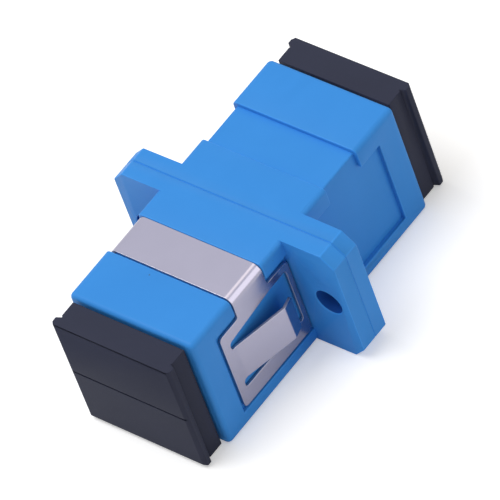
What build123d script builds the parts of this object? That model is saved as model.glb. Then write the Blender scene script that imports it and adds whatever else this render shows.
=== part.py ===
from build123d import *
import os

# Simplex fibre optic adapter: a welded two-part housing with a flange, the inner latches and
# split sleeve that hold two plugs in line, a folded spring clip and two dust caps.
# Millimetres. X runs across the flange, Y along the optical axis and Z up. The housing halves
# meet on Y = 0, the clip is on the -Y half and the flat underside lies on Z = 0.

# Housing: a middle section, with a slightly taller collar round each port
body_width = 12.4
body_height = 12.0
collar_rise = 0.1
housing_length = 26.4
collar_length = 4.95
collar_top_radius = 0.5
middle_top_radius = 0.4
underside_radius = 0.5
end_edge_radius = 0.4

# Flange: the two ears that are screwed to a panel, each ending a set distance past its hole
screw_spacing = 18.0
screw_hole_diameter = 2.5
screw_end_distance = 2.0
flange_front_depth = 1.55
flange_rear_depth = 1.4
ear_chamfer = 1.1
seam_chamfer = 0.08

# Clip seat: a recess in each side and a saddle over the top between land and collar
seat_depth = 0.4
seat_length = 9.15
seat_ledge = 1.35
seat_lip = 1.9
land_length = 2.65

# Port for a square plug, with its key slot
port_width = 9.1
port_height = 7.5
port_mouth_chamfer = 0.3
key_width = 2.6
key_depth = 0.6
key_length = 5.2

# Inner latch: a base plate trapped at the weld, a sleeve holder and two hooked arms
base_width = 10.7
base_height = 7.3
base_thickness = 1.2
base_clearance = 0.05
holder_diameter = 4.6
holder_nose = 0.5
holder_mouth_diameter = 2.9
arm_gap = 6.6
arm_thickness = 0.95
arm_width = 4.4
arm_length = 8.2
hook_reach = 0.6
hook_length = 1.3
hook_flat = 0.25

# Alignment sleeve: a ceramic tube, split along its top
sleeve_bore = 2.5
sleeve_diameter = 3.2
sleeve_length = 11.4
sleeve_slit = 0.4
sleeve_clearance = 0.05

# Mounting clip: one folded sheet, with a sprung tab cut free in each side plate
clip_thickness = 0.25
clip_clearance = 0.05
clip_near_gap = 0.2
clip_far_gap = 0.1
clip_top_gap = 0.4
clip_bottom_gap = 0.1
clip_bend_radius = 0.55
plate_corner_radius = 0.4
window_near_margin = 1.25
window_far_margin = 0.5
window_bottom_margin = 1.7
window_top_margin = 1.3
window_rise = 0.55
slit_width = 0.8
tab_length = 4.75
tab_rise = 1.25
tab_tip_length = 1.15
tab_tip_return = 0.3
tab_bend_radius = 0.4

# Dust cap: a head with a grip lip down each side and a hollow plug that ends short of the arms
cap_width = 11.1
cap_edge_inset = 0.2
cap_head = 2.65
cap_gap = 0.1
cap_edge_chamfer = 0.25
cap_wall = 1.4
grip_reach = 0.36
grip_thickness = 0.7
grip_slope = 0.2
plug_clearance = 0.1
plug_wall = 0.9
plug_end_gap = 0.2
plug_lead_in = 0.3
groove_width = 0.2
groove_depth = 0.12

# Places that follow from the sizes above
middle_height = body_height - collar_rise
axis_height = middle_height / 2
half_length = housing_length / 2
flange_width = screw_spacing + 2 * screw_end_distance
collar_start = half_length - collar_length
land_end = flange_front_depth + land_length
seat_end = flange_front_depth + seat_length
seat_top = body_height - seat_lip
saddle_width = body_width - 2 * seat_depth
saddle_top = middle_height - clip_thickness - clip_clearance
holder_bore = sleeve_diameter + 2 * sleeve_clearance
holder_length = sleeve_length / 2 + sleeve_clearance + holder_nose
FROM_BELOW = (Align.CENTER, Align.MIN)


def housing_half(flange_depth):
    """One moulding, from the weld face on Y = 0 to its port at -Y."""
    with BuildPart() as half:
        # Middle section, the taller collar at its end and the flange at the weld
        with BuildSketch(Plane.XZ) as middle:
            Rectangle(body_width, middle_height, align=FROM_BELOW)
            fillet(middle.vertices().group_by(Axis.Y)[-1], middle_top_radius)
            fillet(middle.vertices().group_by(Axis.Y)[0], underside_radius)
        extrude(amount=half_length)
        with BuildSketch(Plane.XZ.offset(collar_start)) as collar:
            Rectangle(body_width, body_height, align=FROM_BELOW)
            fillet(collar.vertices().group_by(Axis.Y)[-1], collar_top_radius)
            fillet(collar.vertices().group_by(Axis.Y)[0], underside_radius)
        extrude(amount=collar_length)
        fillet(half.faces().sort_by(Axis.Y)[0].outer_wire().edges(), end_edge_radius)
        with BuildSketch(Plane.XZ) as flange:
            Rectangle(flange_width, middle_height, align=FROM_BELOW)
            chamfer(flange.vertices(), ear_chamfer)
            with Locations((-screw_spacing / 2, axis_height), (screw_spacing / 2, axis_height)):
                Circle(screw_hole_diameter / 2, mode=Mode.SUBTRACT)
        extrude(amount=flange_depth)

        # Saddle for the clip's bridge, between the land by the flange and the collar
        with BuildSketch(Plane.XZ.offset(land_end)):
            with Locations((0, seat_ledge)):
                Rectangle(flange_width, body_height, align=FROM_BELOW)
            with BuildSketch(mode=Mode.PRIVATE) as saddle:
                Rectangle(saddle_width, saddle_top, align=FROM_BELOW)
                fillet(saddle.vertices().group_by(Axis.Y)[-1], clip_bend_radius)
            add(saddle.sketch, mode=Mode.SUBTRACT)
        extrude(amount=collar_start - land_end, mode=Mode.SUBTRACT)

        # Recess for a side plate of the clip in each flank, closed by a ledge and a lip
        for side in (-1, 1):
            with BuildSketch(Plane.YZ.offset(side * body_width / 2)):
                with Locations((-seat_end, seat_ledge)):
                    Rectangle(
                        seat_end - flange_depth, seat_top - seat_ledge, align=(Align.MIN, Align.MIN)
                    )
            extrude(amount=-side * seat_depth, mode=Mode.SUBTRACT)

        # Port with its key slot, and the pocket that traps the latch's base plate
        with BuildSketch(Plane.XZ):
            with Locations((0, axis_height)):
                Rectangle(port_width, port_height)
        extrude(amount=half_length, mode=Mode.SUBTRACT)
        with BuildSketch(Plane.XZ.offset(half_length - key_length)):
            with Locations((0, axis_height)):
                Rectangle(key_width, port_height / 2 + key_depth, align=FROM_BELOW)
        extrude(amount=key_length, mode=Mode.SUBTRACT)
        with BuildSketch(Plane.XZ):
            with Locations((0, axis_height)):
                Rectangle(base_width + 2 * base_clearance, base_height + 2 * base_clearance)
        extrude(amount=base_thickness, mode=Mode.SUBTRACT)
        chamfer(half.faces().sort_by(Axis.Y)[0].inner_wires()[0].edges(), port_mouth_chamfer)
        chamfer(half.faces().sort_by(Axis.Y)[-1].outer_wire().edges(), seam_chamfer)
    return half.part


def latch_half():
    """One inner latch, from its base plate on Y = 0 to its hooks at -Y."""
    hook_start = arm_length - hook_length
    arm_inside = arm_gap / 2
    with BuildPart() as latch:
        with BuildSketch(Plane.XZ):
            with Locations((0, axis_height)):
                Rectangle(base_width, base_height)
        extrude(amount=base_thickness)
        with BuildSketch(Plane.XZ):
            with Locations((0, axis_height)):
                Circle(holder_diameter / 2)
        extrude(amount=holder_length)

        # The arms carry hooks that reach inwards, with a ramp for the plug to push past
        with BuildSketch(Plane.XY.offset(axis_height - arm_width / 2)) as arms:
            with BuildLine():
                Polyline(
                    (arm_inside, 0),
                    (arm_inside, -hook_start),
                    (arm_inside - hook_reach, -hook_start),
                    (arm_inside - hook_reach, -hook_start - hook_flat),
                    (arm_inside + arm_thickness / 2, -arm_length),
                    (arm_inside + arm_thickness, -arm_length),
                    (arm_inside + arm_thickness, 0),
                    close=True,
                )
            make_face()
            mirror(about=Plane.YZ)
        extrude(amount=arm_width)

        # Seat for the sleeve, and the narrower mouth that keeps it in
        with BuildSketch(Plane.XZ):
            with Locations((0, axis_height)):
                Circle(holder_bore / 2)
        extrude(amount=holder_length - holder_nose, mode=Mode.SUBTRACT)
        with BuildSketch(Plane.XZ):
            with Locations((0, axis_height)):
                Circle(holder_mouth_diameter / 2)
        extrude(amount=holder_length, mode=Mode.SUBTRACT)
    return latch.part


def dust_cap():
    """The cap of the -Y port, with its outer face at -Y."""
    cap_height = middle_height - 2 * cap_edge_inset
    head_back = half_length + cap_gap
    head_front = head_back + cap_head
    plug_width = port_width - 2 * plug_clearance
    plug_height = port_height - 2 * plug_clearance
    plug_start = arm_length + plug_end_gap
    grip_width = cap_width + 2 * grip_reach
    grip_back = head_front - grip_thickness
    with BuildPart() as cap:
        # Head, wider by the grip lips at its outer end
        with BuildSketch(Plane.XY.offset(axis_height - cap_height / 2)):
            with BuildLine():
                Polyline(
                    (cap_width / 2, -head_back),
                    (cap_width / 2, grip_slope - grip_back),
                    (grip_width / 2, -grip_back),
                    (grip_width / 2, -head_front),
                    (-grip_width / 2, -head_front),
                    (-grip_width / 2, -grip_back),
                    (-cap_width / 2, grip_slope - grip_back),
                    (-cap_width / 2, -head_back),
                    close=True,
                )
            make_face()
        extrude(amount=cap_height)
        chamfer(cap.faces().sort_by(Axis.Y)[0].edges(), cap_edge_chamfer)

        # Hollow plug, tapered at its tip, as wide as the port lets it be
        with BuildSketch(Plane.XZ.offset(plug_start)):
            with Locations((0, axis_height)):
                Rectangle(plug_width, plug_height)
        extrude(amount=head_back - plug_start)
        chamfer(cap.faces().sort_by(Axis.Y)[-1].edges(), plug_lead_in)
        with BuildSketch(Plane.XZ.offset(plug_start)):
            with Locations((0, axis_height)):
                Rectangle(plug_width - 2 * plug_wall, plug_height - 2 * plug_wall)
        extrude(amount=head_front - cap_wall - plug_start, mode=Mode.SUBTRACT)

        # Groove across the outer face at mid height
        with BuildSketch(Plane.XZ.offset(head_front)):
            with Locations((0, axis_height)):
                Rectangle(grip_width, groove_width)
        extrude(amount=-groove_depth, mode=Mode.SUBTRACT)
    return cap.part


os.makedirs("parts", exist_ok=True)

# Housing
front_moulding = housing_half(flange_front_depth)
rear_moulding = housing_half(flange_rear_depth)

with BuildPart() as housing_front:
    add(front_moulding)
housing_front.part.label = "housing_front"
export_step(housing_front.part, "parts/housing_front.step")

with BuildPart() as housing_rear:
    add(rear_moulding.rotate(Axis.Z, 180))
housing_rear.part.label = "housing_rear"
export_step(housing_rear.part, "parts/housing_rear.step")

# Inner latches, back to back at the weld
latch_moulding = latch_half()

with BuildPart() as inner_latch_front:
    add(latch_moulding)
inner_latch_front.part.label = "inner_latch_front"
export_step(inner_latch_front.part, "parts/inner_latch_front.step")

with BuildPart() as inner_latch_rear:
    add(latch_moulding.rotate(Axis.Z, 180))
inner_latch_rear.part.label = "inner_latch_rear"
export_step(inner_latch_rear.part, "parts/inner_latch_rear.step")

# Alignment sleeve, floating in the two holders
with BuildPart() as alignment_sleeve:
    with BuildSketch(Plane.XZ.offset(-sleeve_length / 2)):
        with Locations((0, axis_height)):
            Circle(sleeve_diameter / 2)
            Circle(sleeve_bore / 2, mode=Mode.SUBTRACT)
            Rectangle(sleeve_slit, sleeve_diameter, align=FROM_BELOW, mode=Mode.SUBTRACT)
    extrude(amount=sleeve_length)
alignment_sleeve.part.label = "alignment_sleeve"
export_step(alignment_sleeve.part, "parts/alignment_sleeve.step")

# Mounting clip: the bridge over the saddle, then the +X plate and tab, mirrored to -X
clip_inside = saddle_width / 2 + clip_clearance
clip_inner_top = saddle_top + clip_clearance
plate_bottom = seat_ledge + clip_bottom_gap
plate_top = seat_top - clip_top_gap
plate_near = -(seat_end - clip_near_gap)
plate_far = -(flange_front_depth + clip_far_gap)
neck_near = -(collar_start - clip_near_gap)
neck_far = -(land_end + clip_far_gap)
neck_bottom = plate_top - plate_corner_radius
window_near = plate_near + window_near_margin
window_far = plate_far - window_far_margin
window_bottom = plate_bottom + window_bottom_margin
window_top = plate_top - window_top_margin
tab_bottom = window_bottom + slit_width
tab_top = window_top - slit_width
bend_y = window_near + tab_length
tip_y = bend_y + tab_tip_length

with BuildPart() as mounting_clip:
    with BuildSketch(Plane.XZ.offset(-neck_far)) as bridge:
        with Locations((0, neck_bottom)):
            Rectangle(
                2 * (clip_inside + clip_thickness),
                clip_inner_top + clip_thickness - neck_bottom,
                align=FROM_BELOW,
            )
        fillet(bridge.vertices().group_by(Axis.Y)[-1], clip_bend_radius + clip_thickness)
        with BuildSketch(mode=Mode.PRIVATE) as saddle_space:
            Rectangle(2 * clip_inside, clip_inner_top, align=FROM_BELOW)
            fillet(saddle_space.vertices().group_by(Axis.Y)[-1], clip_bend_radius)
        add(saddle_space.sketch, mode=Mode.SUBTRACT)
    extrude(amount=neck_far - neck_near)

    # Side plate with the window that frees the tab, open wider towards the flange
    with BuildSketch(Plane.YZ.offset(clip_inside)) as plate:
        with Locations((plate_near, plate_bottom)):
            Rectangle(plate_far - plate_near, plate_top - plate_bottom, align=(Align.MIN, Align.MIN))
        fillet(plate.vertices(), plate_corner_radius)
        with BuildLine():
            Polyline(
                (window_near, window_bottom),
                (window_far, window_bottom),
                (window_far, window_top + window_rise),
                (neck_far, window_top + window_rise),
                (window_near, window_top),
                close=True,
            )
        make_face(mode=Mode.SUBTRACT)
        with Locations(
            (window_near, window_bottom + slit_width / 2), (window_near, window_top - slit_width / 2)
        ):
            Circle(slit_width / 2, mode=Mode.SUBTRACT)
    extrude(amount=clip_thickness)

    # Tab: it leaves the plate at the slit ends, rises outwards and turns back at its tip
    with BuildSketch(Plane.XY.offset(tab_bottom)):
        with BuildLine():
            FilletPolyline(
                (clip_inside, window_near - slit_width / 2),
                (clip_inside, window_near),
                (clip_inside + tab_rise, bend_y),
                (clip_inside + tab_rise - tab_tip_return, tip_y),
                radius=tab_bend_radius,
            )
            offset(amount=clip_thickness, side=Side.RIGHT)
        make_face()
    extrude(amount=tab_top - tab_bottom)
    mirror(about=Plane.YZ)
mounting_clip.part.label = "mounting_clip"
export_step(mounting_clip.part, "parts/mounting_clip.step")

# Dust caps
cap_moulding = dust_cap()

with BuildPart() as dust_cap_front:
    add(cap_moulding)
dust_cap_front.part.label = "dust_cap_front"
export_step(dust_cap_front.part, "parts/dust_cap_front.step")

with BuildPart() as dust_cap_rear:
    add(cap_moulding.rotate(Axis.Z, 180))
dust_cap_rear.part.label = "dust_cap_rear"
export_step(dust_cap_rear.part, "parts/dust_cap_rear.step")
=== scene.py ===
import math
import bmesh
import bpy
from mathutils import Matrix, Vector


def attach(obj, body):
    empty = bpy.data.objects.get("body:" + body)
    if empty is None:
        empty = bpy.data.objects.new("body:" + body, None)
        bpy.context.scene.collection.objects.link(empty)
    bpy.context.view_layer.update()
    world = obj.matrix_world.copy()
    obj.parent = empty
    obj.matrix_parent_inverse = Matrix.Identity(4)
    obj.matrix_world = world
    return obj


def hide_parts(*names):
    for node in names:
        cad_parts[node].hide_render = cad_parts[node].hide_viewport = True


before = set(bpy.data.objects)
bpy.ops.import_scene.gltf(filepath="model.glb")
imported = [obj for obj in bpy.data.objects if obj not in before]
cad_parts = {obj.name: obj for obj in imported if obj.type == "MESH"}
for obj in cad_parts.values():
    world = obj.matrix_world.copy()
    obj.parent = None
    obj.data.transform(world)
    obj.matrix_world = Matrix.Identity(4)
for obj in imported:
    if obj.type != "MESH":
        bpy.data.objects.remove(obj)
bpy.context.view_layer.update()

MM = 0.001

# Camera
# A long lens looks down on the front right corner, turned so that the optical axis climbs
# across the picture from the lower left to the upper right.
camera_azimuth = math.radians(53.01)
camera_tilt = math.radians(43.11)
camera_roll = math.radians(-21.24)
camera_distance = 600 * MM
camera_focus = Vector((0, 0, 6)) * MM
camera_lens, camera_sensor = 557.2, 36

camera = bpy.data.objects.new("camera", bpy.data.cameras.new("camera"))
bpy.context.scene.collection.objects.link(camera)
camera_turn = (
    Matrix.Rotation(camera_azimuth, 4, "Z")
    @ Matrix.Rotation(camera_tilt, 4, "X")
    @ Matrix.Rotation(camera_roll, 4, "Z")
)
camera_place = camera_turn @ Vector((0, 0, camera_distance))
camera.matrix_world = Matrix.Translation(camera_focus + camera_place) @ camera_turn
camera.data.sensor_width = camera_sensor
camera.data.lens = camera_lens
bpy.context.scene.camera = camera
bpy.context.scene.view_settings.view_transform = "Standard"

# Studio
# A flat white paper floor in a tent of soft light. A large lamp overhead, a little to the left and
# in front, makes the top the brightest side. Two warmer ones shine in the folded steel: a long
# one behind to the right, and a small one high up behind.
floor_size = 3.0
floor_drop = 0.02 * MM
paper_white = "#F4F4F4"
tent_white = "#FFFFFF"
tent_light = 0.38
near_lift, far_lift = 0.36, 0.6
near_reach, far_reach = 0.06, 0.5
mirrored_share = 0.3
overhead_place = Vector((-0.14, -0.10, 0.42))
overhead_size = (0.3, 0.3)
overhead_power = 1.36
side_place = Vector((0.366, 0.185, 0.185))
side_size = (0.46, 0.22)
side_power = 0.3
side_tint = "#FFF8EE"
rear_place = Vector((-0.02, 0.19, 0.41))
rear_size = (0.2, 0.2)
rear_power = 0.125
rear_tint = "#FFEED3"


def linear(hex_colour):
    """The linear RGBA of an sRGB colour such as #4494E6."""
    rgb = [int(hex_colour[i:i + 2], 16) / 255 for i in (1, 3, 5)]
    return [c / 12.92 if c <= 0.04045 else ((c + 0.055) / 1.055) ** 2.4 for c in rgb] + [1]


def add_node(tree, kind, settings=None, links=None):
    """Adds a node; a setting or link is named for its property or input, or numbered."""
    node = tree.nodes.new(kind)
    for key, value in (settings or {}).items():
        if isinstance(key, str) and hasattr(node, key):
            setattr(node, key, value)
        else:
            node.inputs[key].default_value = value
    for key, socket in (links or {}).items():
        tree.links.new(socket, node.inputs[key])
    return node


def new_material(name):
    """An empty node material and its output node."""
    material = bpy.data.materials.new(name)
    material.use_nodes = True
    material.node_tree.nodes.clear()
    return material, material.node_tree, material.node_tree.nodes.new("ShaderNodeOutputMaterial")


# Paper, matt and uncoated: it takes the object's shadow and is white to the camera
paper, tree, output = new_material("paper, matt uncoated")
path = add_node(tree, "ShaderNodeLightPath")
mirrored = add_node(tree, "ShaderNodeMath", {"operation": "MAXIMUM"},
                    {0: path.outputs["Is Glossy Ray"], 1: path.outputs["Is Transmission Ray"]})
seen = add_node(tree, "ShaderNodeMath", {"operation": "MULTIPLY_ADD", 1: mirrored_share},
                {0: mirrored.outputs[0], 2: path.outputs["Is Camera Ray"]})
place = add_node(tree, "ShaderNodeTexCoord").outputs["Object"]
reach = add_node(tree, "ShaderNodeVectorMath", {"operation": "LENGTH"}, {0: place})
rise = add_node(tree, "ShaderNodeMapRange",
                {"From Min": near_reach, "From Max": far_reach, "To Min": near_lift,
                 "To Max": far_lift}, {"Value": reach.outputs["Value"]})
lift = add_node(tree, "ShaderNodeMath", {"operation": "MULTIPLY"},
                {0: seen.outputs[0], 1: rise.outputs[0]})
glow = add_node(tree, "ShaderNodeEmission", {"Color": linear(tent_white)},
                {"Strength": lift.outputs[0]})
matt = add_node(tree, "ShaderNodeBsdfDiffuse", {"Color": linear(paper_white)})
both = add_node(tree, "ShaderNodeAddShader", None, {0: matt.outputs[0], 1: glow.outputs[0]})
tree.links.new(both.outputs[0], output.inputs["Surface"])

bm = bmesh.new()
bmesh.ops.create_grid(bm, x_segments=1, y_segments=1, size=floor_size / 2)
bmesh.ops.translate(bm, verts=bm.verts, vec=(0, 0, -floor_drop))
floor_mesh = bpy.data.meshes.new("floor")
bm.to_mesh(floor_mesh)
bm.free()
floor_mesh.materials.append(paper)
floor = bpy.data.objects.new("floor", floor_mesh)
bpy.context.scene.collection.objects.link(floor)

world = bpy.data.worlds.new("light tent")
world.use_nodes = True
bpy.context.scene.world = world
tree = world.node_tree
tree.nodes.clear()
path = add_node(tree, "ShaderNodeLightPath")
direct = add_node(tree, "ShaderNodeMath", {"operation": "MAXIMUM"},
                  {0: path.outputs["Is Camera Ray"], 1: path.outputs["Is Glossy Ray"]})
direct = add_node(tree, "ShaderNodeMath", {"operation": "MAXIMUM"},
                  {0: direct.outputs[0], 1: path.outputs["Is Transmission Ray"]})
level = add_node(tree, "ShaderNodeMapRange", {"To Min": tent_light, "To Max": 1.0},
                 {"Value": direct.outputs[0]})
tent = add_node(tree, "ShaderNodeBackground", {"Color": linear(tent_white)},
                {"Strength": level.outputs[0]})
add_node(tree, "ShaderNodeOutputWorld", None, {"Surface": tent.outputs[0]})

for name, place, size, power, tint in (
    ("overhead lamp", overhead_place, overhead_size, overhead_power, tent_white),
    ("side lamp", side_place, side_size, side_power, side_tint),
    ("rear lamp", rear_place, rear_size, rear_power, rear_tint),
):
    lamp = bpy.data.lights.new(name, "AREA")
    lamp.color = linear(tint)[:3]
    lamp.shape = "RECTANGLE"
    lamp.size, lamp.size_y = size
    lamp.energy = power
    lamp_object = bpy.data.objects.new(name, lamp)
    away = place.normalized()
    side = Vector((0, 1, 0)).cross(away).normalized()
    turn = Matrix((side, away.cross(side), away)).transposed()
    lamp_object.matrix_world = Matrix.Translation(place) @ turn.to_4x4()
    bpy.context.scene.collection.objects.link(lamp_object)

# Housing halves
# Two glass-filled PBT mouldings, welded together at the middle of the flange. The mould
# leaves every outer corner slightly rounded and the whole skin a fine, satin, spark-eroded texture.
slack = 0.01 * MM
merge_gap = 0.002 * MM
flat_angle = math.radians(0.5)
corner_angle = math.radians(35)
fold_angle = math.radians(120)
axis_height = 5.95 * MM
housing_edge = 0.09 * MM
housing_blue, housing_deep_blue = "#3E92E3", "#378ADA"
# Darker blues for the walls of the screw holes: painted shade inside them
bore_shade_blue, bore_deep_shade_blue = "#1F55A8", "#1C4F9D"
# Paler blues for the rounded edges: a painted highlight
edge_highlight_blue, edge_highlight_deep_blue = "#4199ED", "#3A92E5"
speck_dark, speck_pale = "#1C3C66", "#9CC8F4"
weld_reach, weld_fill = 0.2 * MM, 0.025 * MM
weld_half_width, weld_half_height = 10.92 * MM, 5.92 * MM
screw_hole_places = (-9 * MM, 9 * MM)
screw_hole_reach = 1.3 * MM
saddle_side, saddle_top, saddle_bend = 5.8 * MM, 11.6 * MM, 0.55 * MM
saddle_near, saddle_far = 4.2 * MM, 8.25 * MM
bare_saddle_share = 0.3
clip_seat_end, clip_seat_top = -10.7 * MM, 10.1 * MM
clip_seat_ease = 0.2 * MM


def same(a, b):
    """Whether two measures are the same, give or take the slack."""
    return abs(a - b) < slack


def merge_flat(bm, angle):
    """Merges the neighbouring faces that lie in one plane, to within an angle."""
    bmesh.ops.dissolve_limit(bm, angle_limit=angle, verts=bm.verts, edges=bm.edges)


def joined_copy(node):
    """A bmesh of a solid's mesh, with its loose triangles merged into whole faces."""
    bm = bmesh.new()
    bm.from_mesh(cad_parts[node].data)
    bmesh.ops.remove_doubles(bm, verts=bm.verts, dist=merge_gap)
    merge_flat(bm, flat_angle)
    return bm


def rounded_piece(name, bm, width, keeps_sharp=None, segments=3, edge_slot=0):
    """The object of a bmesh: outer corners rounded, inner ones sharp, the rest shaded smooth."""
    weights = bm.edges.layers.float.new("bevel_weight_edge")
    for edge in bm.edges:
        turn = edge.calc_face_angle_signed(0)
        sharp = keeps_sharp is not None and keeps_sharp(edge)
        corner = corner_angle < turn < fold_angle and not sharp
        edge[weights] = 1.0 if corner else 0.0
        edge.smooth = corner or (abs(turn) < corner_angle and not sharp)
    for face in bm.faces:
        face.smooth = True
    mesh = bpy.data.meshes.new(name)
    bm.to_mesh(mesh)
    bm.free()
    piece = bpy.data.objects.new(name, mesh)
    bpy.context.scene.collection.objects.link(piece)
    bevel = piece.modifiers.new("rounded corners", "BEVEL")
    bevel.limit_method = "WEIGHT"
    bevel.width = width
    bevel.segments = segments
    bevel.material = edge_slot
    bevel.use_clamp_overlap = False
    bevel.harden_normals = True
    return piece


def moulded_plastic(name, colour, deep_colour, roughness, ior, gloss, specks):
    """A satin moulding: flow marks, stray specks and the mould's spark-eroded texture."""
    material, tree, output = new_material(name)
    place = add_node(tree, "ShaderNodeTexCoord").outputs["Object"]
    # Flow marks where the melt cooled, about 5 mm apart and barely darker
    flow = add_node(tree, "ShaderNodeTexNoise",
                    {"Scale": 1 / (5 * MM), "Detail": 3.0, "Distortion": 0.6}, {"Vector": place})
    tone = add_node(tree, "ShaderNodeMix",
                    {"data_type": "RGBA", 6: linear(deep_colour), 7: linear(colour)},
                    {0: flow.outputs["Fac"]})
    # Stray pale and dark specks of regrind, 0.1 mm across. Some cells of the resin, each
    # 1.5 mm wide, hold one, and it shows only where it meets the skin
    cells = add_node(tree, "ShaderNodeTexVoronoi", {"Scale": 1 / (1.5 * MM)}, {"Vector": place})
    dot = add_node(tree, "ShaderNodeMapRange",
                   {"From Min": 0.05, "From Max": 0.03, "To Min": 0.0, "To Max": 1.0},
                   {"Value": cells.outputs["Distance"]})
    pick = add_node(tree, "ShaderNodeSeparateColor", None, {0: cells.outputs["Color"]})
    rare = add_node(tree, "ShaderNodeMath", {"operation": "LESS_THAN", 1: specks},
                    {0: pick.outputs[0]})
    fleck = add_node(tree, "ShaderNodeMath", {"operation": "MULTIPLY"},
                     {0: dot.outputs[0], 1: rare.outputs[0]})
    fleck_tone = add_node(tree, "ShaderNodeMix",
                          {"data_type": "RGBA", 6: linear(speck_dark), 7: linear(speck_pale)},
                          {0: pick.outputs[1]})
    skin = add_node(tree, "ShaderNodeMix", {"data_type": "RGBA"},
                    {0: fleck.outputs[0], 6: tone.outputs[2], 7: fleck_tone.outputs[2]})
    # Spark-eroded texture: 0.03 mm pits in the real mould, drawn 0.1 mm wide to show
    pits = add_node(tree, "ShaderNodeTexNoise",
                    {"Scale": 1 / (0.1 * MM), "Detail": 2.0}, {"Vector": place})
    grain = add_node(tree, "ShaderNodeBump", {"Strength": 0.25, "Distance": 0.004 * MM},
                     {"Height": pits.outputs["Fac"]})
    sink = add_node(tree, "ShaderNodeBump", {"Strength": 0.5, "Distance": 0.03 * MM},
                    {"Height": flow.outputs["Fac"], "Normal": grain.outputs[0]})
    matt = add_node(tree, "ShaderNodeMapRange",
                    {"To Min": roughness - 0.06, "To Max": roughness + 0.06},
                    {"Value": pits.outputs["Fac"]})
    # The texture scatters part of the gloss that so clear a resin would have
    shader = add_node(tree, "ShaderNodeBsdfPrincipled", {"IOR": ior, "Specular IOR Level": gloss},
                      {"Base Color": skin.outputs[2], "Roughness": matt.outputs[0],
                       "Normal": sink.outputs[0]})
    tree.links.new(shader.outputs[0], output.inputs["Surface"])
    return material


housing_plastic = moulded_plastic(
    "PBT, injection moulded, spark-eroded satin", housing_blue, housing_deep_blue,
    roughness=0.42, ior=1.55, gloss=0.12, specks=0.12,
)
# The screw holes come off smooth core pins; their darker blue is painted shade for the dim inside
# of the holes
bore_shade_plastic = moulded_plastic(
    "PBT, core-pin smooth, painted shade in the screw holes", bore_shade_blue, bore_deep_shade_blue,
    roughness=0.4, ior=1.55, gloss=0.06, specks=0.0,
)
# The rounded edges are a paler blue: a painted highlight for light catching the rounding
edge_highlight_plastic = moulded_plastic(
    "PBT, painted highlight on the rounded edges", edge_highlight_blue, edge_highlight_deep_blue,
    roughness=0.36, ior=1.55, gloss=0.14, specks=0.0,
)
for node in ("housing_front", "housing_rear"):
    bm = joined_copy(node)
    for vertex in bm.verts:
        x, y, z = vertex.co
        inward, down = saddle_side - abs(x), saddle_top - z
        on_bend = -slack < min(inward, down) and max(inward, down) < saddle_bend + slack
        # With no clip to bend over it, the rear saddle has crisper shoulders than the front one
        if on_bend and saddle_near - slack < y < saddle_far + slack:
            vertex.co.x = math.copysign(saddle_side - bare_saddle_share * inward, x)
            vertex.co.z = saddle_top - bare_saddle_share * down
        # The seat is larger than the clip, which leaves a dark line round its side plates
        if y < 0 and abs(x) > saddle_side - slack:
            if same(y, clip_seat_end):
                vertex.co.y -= clip_seat_ease / 2
            if same(z, clip_seat_top):
                vertex.co.z += clip_seat_ease
        # The melt of the weld stands a little proud at the end of each ear
        if same(y, 0) and same(abs(x), weld_half_width):
            vertex.co.x *= 1 + weld_fill / weld_half_width
            vertex.co.z += weld_fill * (z / weld_half_height - 1)
    # The walls of the screw holes, which don't face along the axis, take the darker blue of painted
    # shade
    for face in bm.faces:
        centre = face.calc_center_median()
        reach = min(math.hypot(centre.x - x, centre.z - axis_height) for x in screw_hole_places)
        face.material_index = int(reach < screw_hole_reach and abs(face.normal.y) < 0.5)
    # The edges at the weld stay sharp; the rounded edges take the paler blue of the painted
    # highlight
    housing = rounded_piece(
        node + "_moulding",
        bm,
        housing_edge,
        lambda edge: all(abs(v.co.y) < weld_reach for v in edge.verts),
        edge_slot=2,
    )
    for plastic in (housing_plastic, bore_shade_plastic, edge_highlight_plastic):
        housing.data.materials.append(plastic)
    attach(housing, "adapter")
    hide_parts(node)

# Inner latches
# Natural PEI mouldings that can only be seen with a cap off. Each has a base plate trapped
# by the weld, a holder for the sleeve and two arms whose hooks spring over the plug.
latch_edge = 0.07 * MM
latch_cream, latch_deep_cream = "#D9D2BE", "#CEC6B0"
latch_plastic = moulded_plastic(
    "PEI, injection moulded, natural", latch_cream, latch_deep_cream,
    roughness=0.38, ior=1.66, gloss=0.4, specks=0.03,
)
for node in ("inner_latch_front", "inner_latch_rear"):
    latch = rounded_piece(node + "_moulding", joined_copy(node), latch_edge, segments=2)
    latch.data.materials.append(latch_plastic)
    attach(latch, "adapter")
    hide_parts(node)

# Dust caps
# Soft black polyethylene mouldings, one pushed into each port. Each is pulled by the grip down
# either side, with a shallow groove beside it. The outer face has a fine groove at mid height
# and another under its top edge.
cap_edge = 0.08 * MM
cap_top = 11.7 * MM
cap_end, cap_chamfer = 15.95 * MM, 0.25 * MM
cap_head_back, cap_gap = 13.3 * MM, 0.15 * MM
cap_groove_reach = 0.2 * MM
cap_lip, cap_lip_reach = 0.06 * MM, 0.3 * MM
cap_lip_groove, cap_lip_depth = 0.18 * MM, 0.25 * MM
cap_lip_slope = 0.1
cap_side, cap_grip_foot = 5.55 * MM, 15.05 * MM
cap_grip_groove, cap_grip_depth = 0.15 * MM, 0.12 * MM
cap_grip_start = cap_grip_foot - cap_grip_groove
square_on = 0.99
cut_gap = 1e-8
cap_black, cap_deep_black = "#35384A", "#303343"
cap_plastic = moulded_plastic(
    "polyethylene, injection moulded, soft black", cap_black, cap_deep_black,
    roughness=0.55, ior=1.51, gloss=0.09, specks=0.02,
)


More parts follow.
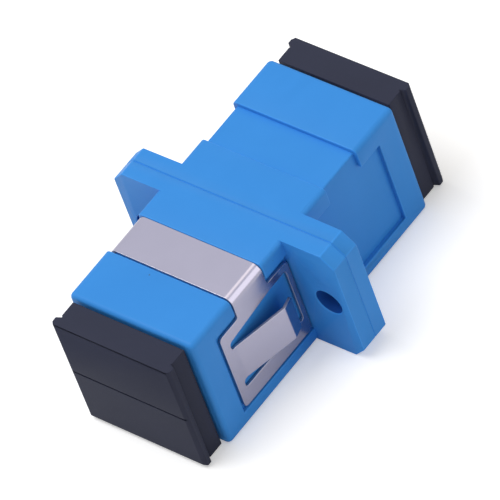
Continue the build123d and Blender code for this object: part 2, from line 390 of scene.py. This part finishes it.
def cap_detail(edge):
    """Whether an edge belongs to a groove: across the end, under its top or beside a grip."""
    a, b = (vertex.co for vertex in edge.verts)
    if same(abs(a.y), cap_grip_start) and same(abs(b.y), cap_grip_start):
        return True
    mid_groove = max(abs(a.z - axis_height), abs(b.z - axis_height)) < cap_groove_reach
    at_end = min(abs(a.y), abs(b.y)) > cap_end - cap_chamfer + slack
    return mid_groove or (at_end and min(a.z, b.z) > cap_top - cap_lip_reach)


def whole(faces):
    """The faces with their vertices and edges, each once."""
    return list({item for face in faces for item in (*face.verts, *face.edges, face)})


def cut(bm, items, place, facing):
    """Cuts the items along a plane, and gives what they have become."""
    sliced = bmesh.ops.bisect_plane(bm, geom=items, dist=cut_gap, plane_co=place, plane_no=facing)
    return sliced["geom"]


for node, body, outward in (("dust_cap_front", "front_cap", -1), ("dust_cap_rear", "rear_cap", 1)):
    bm = joined_copy(node)
    # The gap behind the head is opened, and the end's top edge made square for its groove
    for vertex in bm.verts:
        y, z = vertex.co.yz
        if same(abs(y), cap_head_back):
            vertex.co.y += math.copysign(cap_gap, y)
        if abs(y) > cap_end - slack and z > cap_top - 2 * cap_chamfer:
            vertex.co.z = cap_top
    bm.normal_update()
    merge_flat(bm, flat_angle)
    # The groove beside each grip slopes in from the flank to the grip's foot
    flanks = [face for face in bm.faces if abs(face.normal.x) > square_on
              and same(abs(face.calc_center_median().x), cap_side)]
    cut(bm, whole(flanks), (0, outward * cap_grip_start, 0), (0, 1, 0))
    for vertex in bm.verts:
        if same(abs(vertex.co.y), cap_grip_foot) and same(abs(vertex.co.x), cap_side):
            vertex.co.x -= math.copysign(cap_grip_depth, vertex.co.x)
    # The groove under the top edge has steep sides, each a tenth of its height
    end = [face for face in bm.faces if abs(face.normal.y) > square_on
           and abs(face.calc_center_median().y) > cap_end - slack]
    around = whole(end)
    for share in (0, cap_lip_slope, 1 - cap_lip_slope, 1):
        around = cut(bm, around, (0, 0, cap_top - cap_lip - share * cap_lip_groove), (0, 0, 1))
    groove_middle = cap_top - cap_lip - cap_lip_groove / 2
    for vertex in bm.verts:
        if abs(vertex.co.z - groove_middle) < (1 - cap_lip_slope) / 2 * cap_lip_groove:
            vertex.co.x += math.copysign(cap_lip_depth / 2, vertex.co.x)
            vertex.co.y -= math.copysign(cap_lip_depth, vertex.co.y)
    cap = rounded_piece(node + "_moulding", bm, cap_edge, cap_detail)
    cap.data.materials.append(cap_plastic)
    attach(cap, body)
    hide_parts(node)

# Alignment sleeve
# A tube of ground zirconia with one slit along its top, floating in the two holders. It
# springs open by a hair to grip both ferrules, and is smooth enough to look wet.
sleeve_length = 11.4 * MM
sleeve_bore = 2.5 * MM
sleeve_wall = 0.35 * MM
sleeve_slit = 0.4 * MM
sleeve_edge = 0.06 * MM
sleeve_steps = 64
zirconia_white = "#F1EFE8"

zirconia, tree, output = new_material("zirconia, ground and polished")
place = add_node(tree, "ShaderNodeTexCoord").outputs["Object"]
# Grinding runs round the tube, 0.02 mm apart, drawn at 0.08 mm to show
turning = add_node(tree, "ShaderNodeMapping", {"Scale": (0.05, 1.0, 0.05)}, {"Vector": place})
rings = add_node(tree, "ShaderNodeTexNoise", {"Scale": 1 / (0.08 * MM), "Detail": 2.0},
                 {"Vector": turning.outputs[0]})
ground = add_node(tree, "ShaderNodeBump", {"Strength": 0.1, "Distance": 0.001 * MM},
                  {"Height": rings.outputs["Fac"]})
polish = add_node(tree, "ShaderNodeMapRange", {"To Min": 0.08, "To Max": 0.2},
                  {"Value": rings.outputs["Fac"]})
shader = add_node(tree, "ShaderNodeBsdfPrincipled",
                  {"Base Color": linear(zirconia_white), "IOR": 2.15},
                  {"Roughness": polish.outputs[0], "Normal": ground.outputs[0]})
tree.links.new(shader.outputs[0], output.inputs["Surface"])

tree = bpy.data.node_groups.new("split tube", "GeometryNodeTree")
sleeve_inputs = {
    "Length": sleeve_length, "Bore": sleeve_bore, "Wall": sleeve_wall,
    "Slit": sleeve_slit, "Height": axis_height,
}
for label in sleeve_inputs:
    tree.interface.new_socket(label, in_out="INPUT", socket_type="NodeSocketFloat")
tree.interface.new_socket("Material", in_out="INPUT", socket_type="NodeSocketMaterial")
tree.interface.new_socket("Geometry", in_out="OUTPUT", socket_type="NodeSocketGeometry")
given = add_node(tree, "NodeGroupInput").outputs
# The wall is rolled from a flat strip: its width becomes the turn round the axis
strip = add_node(tree, "GeometryNodeMeshCube",
                 {"Size": (1, 1, 1), "Vertices X": sleeve_steps + 1, "Vertices Y": 2,
                  "Vertices Z": 2})
spot = add_node(tree, "GeometryNodeInputPosition")
part = add_node(tree, "ShaderNodeSeparateXYZ", None, {0: spot.outputs[0]})
radius = add_node(tree, "ShaderNodeMath", {"operation": "MULTIPLY", 1: 0.5}, {0: given["Bore"]})
middle = add_node(tree, "ShaderNodeMath", {"operation": "MULTIPLY_ADD", 1: 0.5},
                  {0: given["Wall"], 2: radius.outputs[0]})
depth = add_node(tree, "ShaderNodeMath", {"operation": "MULTIPLY_ADD"},
                 {0: part.outputs[2], 1: given["Wall"], 2: middle.outputs[0]})
gap = add_node(tree, "ShaderNodeMath", {"operation": "DIVIDE"},
               {0: given["Slit"], 1: middle.outputs[0]})
turn = add_node(tree, "ShaderNodeMath", {"operation": "SUBTRACT", 0: math.tau}, {1: gap.outputs[0]})
angle = add_node(tree, "ShaderNodeMath", {"operation": "MULTIPLY_ADD", 2: -math.pi / 2},
                 {0: part.outputs[0], 1: turn.outputs[0]})
cosine = add_node(tree, "ShaderNodeMath", {"operation": "COSINE"}, {0: angle.outputs[0]})
sine = add_node(tree, "ShaderNodeMath", {"operation": "SINE"}, {0: angle.outputs[0]})
across = add_node(tree, "ShaderNodeMath", {"operation": "MULTIPLY"},
                  {0: cosine.outputs[0], 1: depth.outputs[0]})
along = add_node(tree, "ShaderNodeMath", {"operation": "MULTIPLY"},
                 {0: part.outputs[1], 1: given["Length"]})
above = add_node(tree, "ShaderNodeMath", {"operation": "MULTIPLY_ADD"},
                 {0: sine.outputs[0], 1: depth.outputs[0], 2: given["Height"]})
rolled = add_node(tree, "ShaderNodeCombineXYZ", None,
                  {0: across.outputs[0], 1: along.outputs[0], 2: above.outputs[0]})
bent = add_node(tree, "GeometryNodeSetPosition", None,
                {"Geometry": strip.outputs["Mesh"], "Position": rolled.outputs[0]})
real = add_node(tree, "GeometryNodeRealizeInstances", None, {"Geometry": bent.outputs[0]})
finished = add_node(tree, "GeometryNodeSetMaterial", None,
                    {"Geometry": real.outputs[0], "Material": given["Material"]})
add_node(tree, "NodeGroupOutput", None, {"Geometry": finished.outputs[0]})

maker = bpy.data.objects.new("sleeve maker", bpy.data.meshes.new("sleeve maker"))
bpy.context.scene.collection.objects.link(maker)
modifier = maker.modifiers.new("split tube", "NODES")
modifier.node_group = tree
for socket in tree.interface.items_tree:
    if socket.in_out == "INPUT":
        modifier[socket.identifier] = sleeve_inputs.get(socket.name, zirconia)
evaluated = maker.evaluated_get(bpy.context.evaluated_depsgraph_get())
tube = bpy.data.meshes.new_from_object(evaluated)
bpy.data.objects.remove(maker)
bm = bmesh.new()
bm.from_mesh(tube)
bpy.data.meshes.remove(tube)
bmesh.ops.recalc_face_normals(bm, faces=bm.faces)
sleeve = rounded_piece("alignment_sleeve_tube", bm, sleeve_edge, segments=2)
sleeve.data.materials.append(zirconia)
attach(sleeve, "adapter")
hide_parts("alignment_sleeve")

# Mounting clip
# One strip of hard-rolled stainless steel, blanked flat with a window in each end, then
# folded over the saddle. The tab left in each window is bent out to spring behind a panel.
sheet_thickness = 0.25 * MM
sheet_edge = 0.04 * MM
plate_middle = 5.975 * MM
bridge_middle = 11.775 * MM
fold_radius = 0.675 * MM
fold_steps = 12
neck_near, neck_far = -8.05 * MM, -4.25 * MM
plate_near, plate_far = -10.45 * MM, -1.65 * MM
plate_bottom, plate_top = 1.5 * MM, 9.7 * MM
plate_corner = 0.4 * MM
neck_corner = 0.25 * MM
corner_steps = 6
window_near, window_far = -9.25 * MM, -2.15 * MM
window_bottom, window_top = 3.15 * MM, 8.4 * MM
window_rise = 0.55 * MM
window_corner = 0.25 * MM
slit_width = 0.8 * MM
slit_end = 0.33 * MM
tab_tip_corner = 0.2 * MM
tab_margin = 0.1 * MM
tab_flat_length = 6.16 * MM
# Each bend of the tab: how far from the root it starts, its angle and its radius
tab_bends = ((0.0, math.radians(14.7), 0.55 * MM),
             (4.86 * MM, math.radians(-29.4), 0.45 * MM))
tab_bend_steps = 5
seam_gap = 0.001 * MM
sheet_flat_angle = math.radians(0.1)
sheet_corner_angle = math.radians(50)
# The steel's grey is its own; the lavender in it is a painted reflection of bluish surroundings
steel_and_reflection_colour, steel_edge_colour = "#AEACC0", "#ABABB8"

fold_start = plate_middle - fold_radius
fold_length = fold_radius * math.pi / 2


def on_blank(height):
    """How far a height on a side plate is from the middle of the flat blank."""
    return fold_start + fold_length + bridge_middle - fold_radius - height


def outline(corners):
    """A closed run of points through the corners, each (x, y, radius), with round corners."""
    run = []
    for i, (x, y, radius) in enumerate(corners):
        here = Vector((x, y))
        if not radius:
            run.append(here)
            continue
        before = (Vector(corners[i - 1][:2]) - here).normalized()
        after = (Vector(corners[(i + 1) % len(corners)][:2]) - here).normalized()
        half = before.angle(after) / 2
        centre = here + (before + after).normalized() * radius / math.sin(half)
        start = here + before * radius / math.tan(half) - centre
        sweep = start.angle_signed(here + after * radius / math.tan(half) - centre)
        for step in range(corner_steps + 1):
            turned = start.copy()
            turned.rotate(Matrix.Rotation(-sweep * step / corner_steps, 2))
            run.append(centre + turned)
    return run


def folded(distance, bends):
    """Where a strip has got to, and how far it has risen, after a distance and its bends."""
    travel = rise = heading = passed = 0.0
    for start, angle, radius in bends:
        straight = min(distance, start) - passed
        travel += straight * math.cos(heading)
        rise += straight * math.sin(heading)
        passed += straight
        if distance <= start:
            return travel, rise
        length = abs(angle) * radius
        turned = math.copysign(min(distance - start, length) / radius, angle)
        side = math.copysign(radius, angle)
        travel += side * (math.sin(heading + turned) - math.sin(heading))
        rise += side * (math.cos(heading) - math.cos(heading + turned))
        heading += turned
        passed += min(distance - start, length)
    straight = distance - passed
    return travel + straight * math.cos(heading), rise + straight * math.sin(heading)


tab_bottom, tab_top = window_bottom + slit_width, window_top - slit_width
tab_tip = window_near + tab_flat_length
blank_edge = outline((
    (0, neck_near, 0),
    (on_blank(plate_top), neck_near, neck_corner),
    (on_blank(plate_top), plate_near, plate_corner),
    (on_blank(plate_bottom), plate_near, plate_corner),
    (on_blank(plate_bottom), plate_far, plate_corner),
    (on_blank(plate_top), plate_far, plate_corner),
    (on_blank(plate_top), neck_far, neck_corner),
    (0, neck_far, 0),
))
window_edge = outline((
    (on_blank(tab_bottom), window_near - slit_width / 2, slit_end),
    (on_blank(window_bottom), window_near - slit_width / 2, slit_end),
    (on_blank(window_bottom), window_far, window_corner),
    (on_blank(window_top + window_rise), window_far, window_corner),
    (on_blank(window_top + window_rise), neck_far, window_corner),
    (on_blank(window_top), window_near - slit_width / 2, slit_end),
    (on_blank(tab_top), window_near - slit_width / 2, slit_end),
    (on_blank(tab_top), tab_tip, tab_tip_corner),
    (on_blank(tab_bottom), tab_tip, tab_tip_corner),
))
# Half of the blank, cut across wherever it bends, then folded and mirrored
bm = bmesh.new()
for run in (blank_edge, window_edge):
    ring = [bm.verts.new((point.x, point.y, 0)) for point in run]
    for i, vertex in enumerate(ring):
        bm.edges.new((ring[i - 1], vertex))
bmesh.ops.triangle_fill(bm, use_beauty=True, edges=bm.edges[:])
cuts = [(fold_start + fold_length * i / fold_steps, 0) for i in range(fold_steps + 1)]
for start, angle, radius in tab_bends:
    cuts += [(0, window_near + start + abs(angle) * radius * i / tab_bend_steps)
             for i in range(tab_bend_steps + 1)]
for x, y in cuts:
    cut(bm, bm.verts[:] + bm.edges[:] + bm.faces[:], (x, y, 0), (1, 0, 0) if x else (0, 1, 0))
blank_map = bm.loops.layers.uv.new("blank")
for face in bm.faces:
    for loop in face.loops:
        loop[blank_map].uv = loop.vert.co.xy
for vertex in bm.verts:
    down, along = vertex.co.x, vertex.co.y
    on_tab = (window_near < along < tab_tip + tab_margin
              and on_blank(tab_top) - tab_margin < down < on_blank(tab_bottom) + tab_margin)
    out = 0.0
    if on_tab:
        travel, out = folded(along - window_near, tab_bends)
        along = window_near + travel
    across, drop = folded(down, ((fold_start, math.pi / 2, fold_radius),))
    vertex.co = (across + out, along, bridge_middle - drop)
bmesh.ops.mirror(bm, geom=bm.verts[:] + bm.edges[:] + bm.faces[:], axis="X", merge_dist=seam_gap)
merge_flat(bm, sheet_flat_angle)
bmesh.ops.recalc_face_normals(bm, faces=bm.faces)
for face in bm.faces:
    face.smooth = True
clip_mesh = bpy.data.meshes.new("mounting_clip_sheet")
bm.to_mesh(clip_mesh)
bm.free()


def cold_rolled(name, colour, roughness, relief):
    """Bright rolled steel: fine lines along the strip, which smear its reflections."""
    material, tree, output = new_material(name)
    place = add_node(tree, "ShaderNodeUVMap", {"uv_map": "blank"}).outputs[0]
    # Rolling lines run along the strip; 0.01 mm apart in the real sheet, drawn at 0.06 mm
    stretch = add_node(tree, "ShaderNodeMapping", {"Scale": (0.04, 1.0, 1.0)}, {"Vector": place})
    lines = add_node(tree, "ShaderNodeTexNoise", {"Scale": 1 / (0.06 * MM), "Detail": 3.0},
                     {"Vector": stretch.outputs[0]})
    # Slow unevenness of the sheet, about 3 mm across
    cloud = add_node(tree, "ShaderNodeTexNoise", {"Scale": 1 / (3 * MM), "Detail": 2.0},
                     {"Vector": place})
    roll = add_node(tree, "ShaderNodeBump", {"Strength": relief, "Distance": 0.002 * MM},
                    {"Height": lines.outputs["Fac"]})
    wave = add_node(tree, "ShaderNodeBump", {"Strength": 0.1, "Distance": 0.01 * MM},
                    {"Height": cloud.outputs["Fac"], "Normal": roll.outputs[0]})
    blur = add_node(tree, "ShaderNodeMapRange",
                    {"To Min": roughness - 0.04, "To Max": roughness + 0.06},
                    {"Value": cloud.outputs["Fac"]})
    shader = add_node(tree, "ShaderNodeBsdfPrincipled",
                      {"Base Color": linear(colour), "Metallic": 1.0},
                      {"Roughness": blur.outputs[0], "Normal": wave.outputs[0]})
    tree.links.new(shader.outputs[0], output.inputs["Surface"])
    return material


# The lavender of the steel is a painted reflection of bluish surroundings on a neutral grey steel
clip_mesh.materials.append(cold_rolled(
    "stainless steel, cold rolled bright", steel_and_reflection_colour, roughness=0.21, relief=0.15))
# Blanking tears the edges of the sheet, which leaves them duller than its faces
clip_mesh.materials.append(cold_rolled(
    "stainless steel, blanked edge", steel_edge_colour, roughness=0.32, relief=0.4))
clip = bpy.data.objects.new("mounting_clip_sheet", clip_mesh)
bpy.context.scene.collection.objects.link(clip)
sheet = clip.modifiers.new("sheet", "SOLIDIFY")
sheet.thickness = sheet_thickness
sheet.offset = 0.0
sheet.use_even_offset = True
sheet.material_offset_rim = 1
bevel = clip.modifiers.new("blanked edges", "BEVEL")
bevel.limit_method = "ANGLE"
bevel.angle_limit = sheet_corner_angle
bevel.width = sheet_edge
bevel.segments = 2
bevel.use_clamp_overlap = False
bevel.material = 1
bevel.harden_normals = True
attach(clip, "adapter")
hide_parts("mounting_clip")
